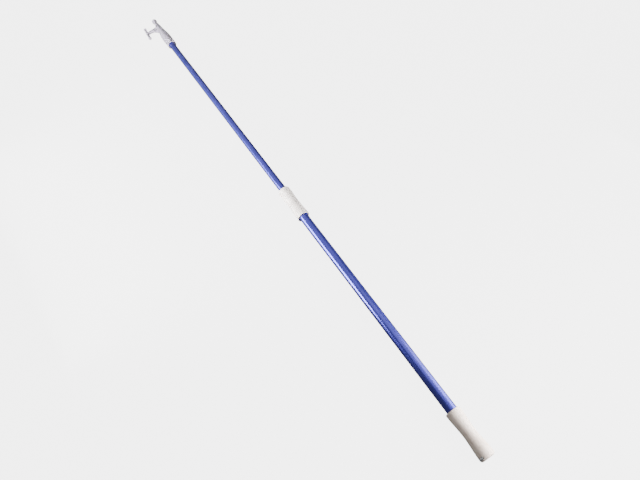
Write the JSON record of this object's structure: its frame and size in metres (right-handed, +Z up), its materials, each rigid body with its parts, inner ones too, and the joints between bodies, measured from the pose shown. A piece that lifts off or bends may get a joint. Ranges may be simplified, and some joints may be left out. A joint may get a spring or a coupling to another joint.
{
  "type": "telescopic hook pole",
  "caption": "Telescopic blue aluminium reach pole with a white butt grip, a twist-lock collar and a moulded hook head with a ball tip and a side crossbar.",
  "frame": {"origin": "centre of the flat end face of the butt grip, on the pole's axis", "axes": "+Y along the pole towards the hook head, +Z up with the pole lying on a floor, the hook's crossbar towards -X"},
  "size_m": [0.0724, 1.83, 0.0348],
  "materials": {
    "anodised_blue": "satin blue anodised tube",
    "grip_white": "off-white moulded grip",
    "collar_white": "off-white moulded collar",
    "head_nylon": "translucent grey-white moulded nylon",
    "black_plastic": "matte",
    "acetal": "satin",
    "lock_plastic": "glass-filled nylon",
    "stainless": "satin",
    "spring_steel": "satin",
    "float_foam": "closed-cell foam"
  },
  "bodies": {
    "lower_section": {"lower_tube": "anodised_blue", "butt_grip": "grip_white", "butt_plug": "black_plastic", "lower_float": "float_foam", "threaded_ferrule": "lock_plastic", "mouth_bush": "acetal", "ferrule_rivets": "stainless", "split_collet": "acetal"},
    "compression_ring": {"compression_ring": "acetal"},
    "lock_collar": {"collar_nut": "lock_plastic", "collar_grip": "collar_white"},
    "guide_ring": {"guide_ring": "acetal"},
    "upper_section": {"end_plug": "black_plastic", "end_plug_pin": "stainless", "upper_tube": "anodised_blue", "upper_float": "float_foam", "top_plug": "black_plastic", "button_spring": "spring_steel", "hook_head": "head_nylon"},
    "snap_button": {"snap_button": "stainless"}
  },
  "joints": [
    {"name": "telescope", "type": "slide", "parent": "lower_section", "child": "guide_ring", "axis": [0, 1, 0], "range_m": [-0.61, 0]},
    {"name": "pole_twist", "type": "hinge", "parent": "guide_ring", "child": "upper_section", "pos_m": [0, 0.72, 0], "axis": [0, 1, 0], "continuous": true},
    {"name": "ring_press", "type": "slide", "parent": "lower_section", "child": "compression_ring", "axis": [0, 1, 0], "range_m": [0, 0.0015]},
    {"name": "collar_twist", "type": "hinge", "parent": "compression_ring", "child": "lock_collar", "pos_m": [0, 0.765, 0], "axis": [0, 1, 0], "range_deg": [0, 180]},
    {"name": "button_press", "type": "slide", "parent": "upper_section", "child": "snap_button", "axis": [0.7547, 0, -0.6561], "range_m": [0, 0.0043], "stiffness_N_per_m": 2000, "springref_m": -0.003, "deforming": ["button_spring"]}
  ],
  "couplings": [
    {"joint": "ring_press", "follows": "collar_twist", "m_per_rad": 0.00047746}
  ]
}
